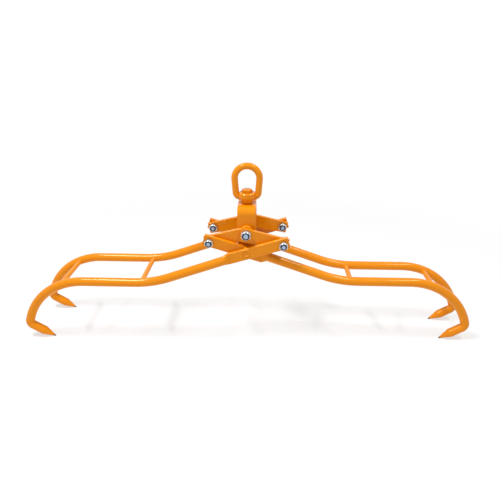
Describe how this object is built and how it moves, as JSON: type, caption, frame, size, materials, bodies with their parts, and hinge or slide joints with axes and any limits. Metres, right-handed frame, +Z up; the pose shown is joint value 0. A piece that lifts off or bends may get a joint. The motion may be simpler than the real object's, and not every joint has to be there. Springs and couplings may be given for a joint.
{
  "type": "log lifting tongs",
  "caption": "Log lifting tongs: crossing pairs of hooked round-bar arms hung by links from a strap bracket with a swivel lifting eye, closing on a log as they are lifted",
  "frame": {"origin": "on the ground, midway between the four claw points, with the tongs standing fully open", "axes": "+Z up through the lifting eye, +X to the right along the length of the open arms, -Y towards the front, where the lock nuts are"},
  "size_m": [0.9286, 0.1423, 0.3636],
  "materials": {
    "orange_paint": "glossy orange enamel over steel",
    "zinc_plated_steel": "bright zinc plating",
    "nylon": "moulded nylon ring, smooth and dull"
  },
  "bodies": {
    "bracket": {"lift_bracket": "orange_paint", "swivel_bolt": "orange_paint", "swivel_washer": "orange_paint", "swivel_nut": "zinc_plated_steel", "swivel_nylon": "nylon"},
    "eye": {"swivel_eye": "orange_paint"},
    "centre": {"centre_bolt_front": "zinc_plated_steel", "centre_bolt_rear": "zinc_plated_steel", "centre_nut_front": "zinc_plated_steel", "centre_nut_rear": "zinc_plated_steel", "centre_nylon_front": "nylon", "centre_nylon_rear": "nylon"},
    "left_links": {"left_link_front": "orange_paint", "left_link_rear": "orange_paint"},
    "right_links": {"right_link_front": "orange_paint", "right_link_rear": "orange_paint"},
    "inner_arm": {"inner_arm_front": "orange_paint", "inner_arm_rear": "orange_paint", "inner_brace_knee": "orange_paint", "inner_brace_shoulder": "orange_paint", "left_bolt_front": "zinc_plated_steel", "left_bolt_rear": "zinc_plated_steel", "left_nut_front": "zinc_plated_steel", "left_nut_rear": "zinc_plated_steel", "left_nylon_front": "nylon", "left_nylon_rear": "nylon"},
    "outer_arm": {"outer_arm_front": "orange_paint", "outer_arm_rear": "orange_paint", "outer_brace_knee": "orange_paint", "outer_brace_shoulder": "orange_paint", "pivot_pin_front": "orange_paint", "pivot_pin_rear": "orange_paint", "right_bolt_front": "zinc_plated_steel", "right_bolt_rear": "zinc_plated_steel", "right_nut_front": "zinc_plated_steel", "right_nut_rear": "zinc_plated_steel", "right_nylon_front": "nylon", "right_nylon_rear": "nylon"}
  },
  "joints": [
    {"name": "eye_swivel", "type": "hinge", "parent": "bracket", "child": "eye", "pos_m": [0, 0, 0.28365], "axis": [0, 0, 1], "continuous": true},
    {"name": "bracket_tilt", "type": "hinge", "parent": "bracket", "child": "centre", "pos_m": [0, 0, 0.23475], "axis": [0, 1, 0], "range_deg": [-75, 75]},
    {"name": "right_link_fold", "type": "hinge", "parent": "centre", "child": "right_links", "pos_m": [0, 0, 0.23475], "axis": [0, 1, 0], "range_deg": [0, 60]},
    {"name": "right_elbow", "type": "hinge", "parent": "right_links", "child": "outer_arm", "pos_m": [0.07297, 0, 0.21656], "axis": [0, -1, 0], "range_deg": [0, 120]},
    {"name": "middle_pivot", "type": "hinge", "parent": "outer_arm", "child": "inner_arm", "pos_m": [0, 0, 0.19837], "axis": [0, 1, 0], "range_deg": [0, 120]},
    {"name": "left_link_fold", "type": "hinge", "parent": "centre", "child": "left_links", "pos_m": [0, 0, 0.23475], "axis": [0, -1, 0], "range_deg": [0, 60]}
  ],
  "couplings": [
    {"joint": "right_link_fold", "follows": "middle_pivot", "ratio": 0.5},
    {"joint": "right_elbow", "follows": "middle_pivot", "ratio": 1},
    {"joint": "left_link_fold", "follows": "middle_pivot", "ratio": 0.5}
  ]
}
